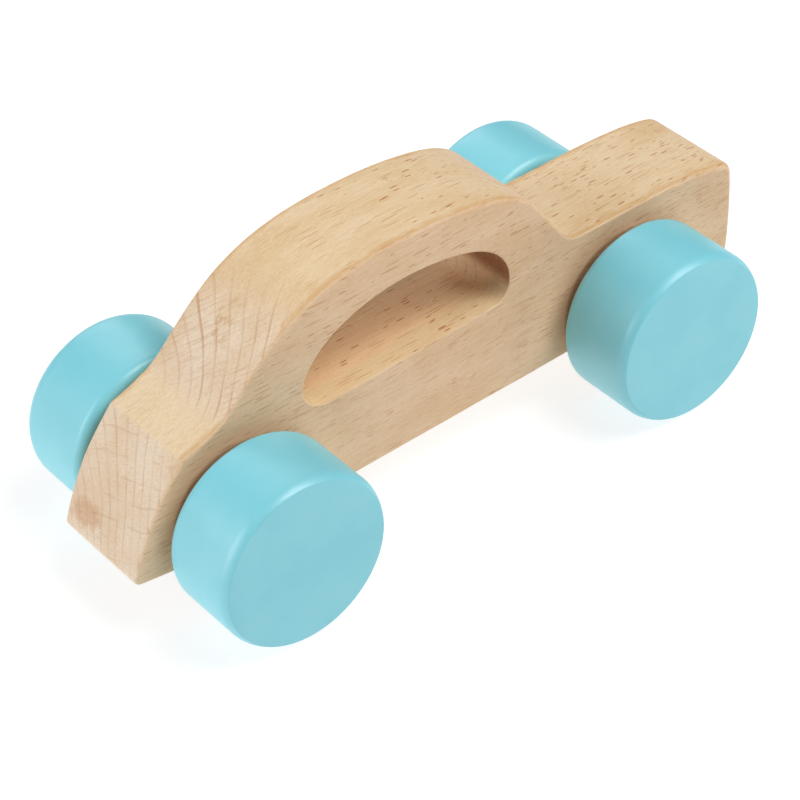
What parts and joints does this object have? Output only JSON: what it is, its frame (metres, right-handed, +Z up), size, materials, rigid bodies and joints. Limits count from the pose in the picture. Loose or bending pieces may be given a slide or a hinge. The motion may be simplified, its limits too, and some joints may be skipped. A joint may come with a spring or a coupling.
{
  "type": "pull back toy car",
  "caption": "Beech toy car with a finger-grip opening through its cabin, four painted wooden wheels and a clockwork pull-back motor on the rear axle.",
  "frame": {"origin": "on the ground, in the middle of the car's length and width", "axes": "+X forwards, +Y to the car's left, +Z up"},
  "size_m": [0.1624, 0.071, 0.064],
  "materials": {
    "beech": "fine-sanded natural beech",
    "turquoise_paint": "satin turquoise paint on wood",
    "steel": "bright drawn steel",
    "spring_steel": "blued spring strip",
    "case_plastic": "black moulded plastic",
    "gear_plastic": "natural acetal",
    "nylon": "natural nylon"
  },
  "bodies": {
    "car": {"car_body": "beech", "motor_case_left": "case_plastic", "motor_case_right": "case_plastic", "case_screw_rear": "steel", "case_screw_front": "steel", "motor_screw_rear": "steel", "motor_screw_front": "steel", "gear_pin_1": "steel", "gear_pin_2": "steel", "mainspring": "spring_steel", "front_bush_left": "nylon", "front_bush_right": "nylon"},
    "rear_wheels": {"wheel_rear_left": "turquoise_paint", "wheel_rear_right": "turquoise_paint", "rear_axle": "steel", "rear_spacer_left": "nylon", "rear_spacer_right": "nylon", "axle_pinion": "gear_plastic"},
    "front_wheels": {"wheel_front_left": "turquoise_paint", "wheel_front_right": "turquoise_paint", "front_axle": "steel", "front_washer_left": "nylon", "front_washer_right": "nylon"},
    "first_reduction": {"first_gear": "gear_plastic"},
    "second_reduction": {"second_gear": "gear_plastic"},
    "spring_wheel": {"spring_gear": "gear_plastic", "spring_arbor": "steel"}
  },
  "joints": [
    {"name": "rear_wheels_spin", "type": "hinge", "parent": "car", "child": "rear_wheels", "pos_m": [-0.055, 0, 0.02], "axis": [0, 1, 0], "continuous": true},
    {"name": "front_wheels_spin", "type": "hinge", "parent": "car", "child": "front_wheels", "pos_m": [0.048, 0, 0.02], "axis": [0, 1, 0], "continuous": true},
    {"name": "first_gear_spin", "type": "hinge", "parent": "car", "child": "first_reduction", "pos_m": [-0.0504, 0, 0.0246], "axis": [0, 1, 0], "continuous": true},
    {"name": "second_gear_spin", "type": "hinge", "parent": "car", "child": "second_reduction", "pos_m": [-0.04704, 0, 0.01933], "axis": [0, 1, 0], "continuous": true},
    {"name": "spring_gear_spin", "type": "hinge", "parent": "car", "child": "spring_wheel", "pos_m": [-0.0392, 0, 0.0219], "axis": [0, 1, 0], "continuous": true}
  ],
  "couplings": [
    {"joint": "first_gear_spin", "follows": "rear_wheels_spin", "ratio": -0.625},
    {"joint": "second_gear_spin", "follows": "rear_wheels_spin", "ratio": 0.35156},
    {"joint": "spring_gear_spin", "follows": "rear_wheels_spin", "ratio": -0.13184}
  ]
}
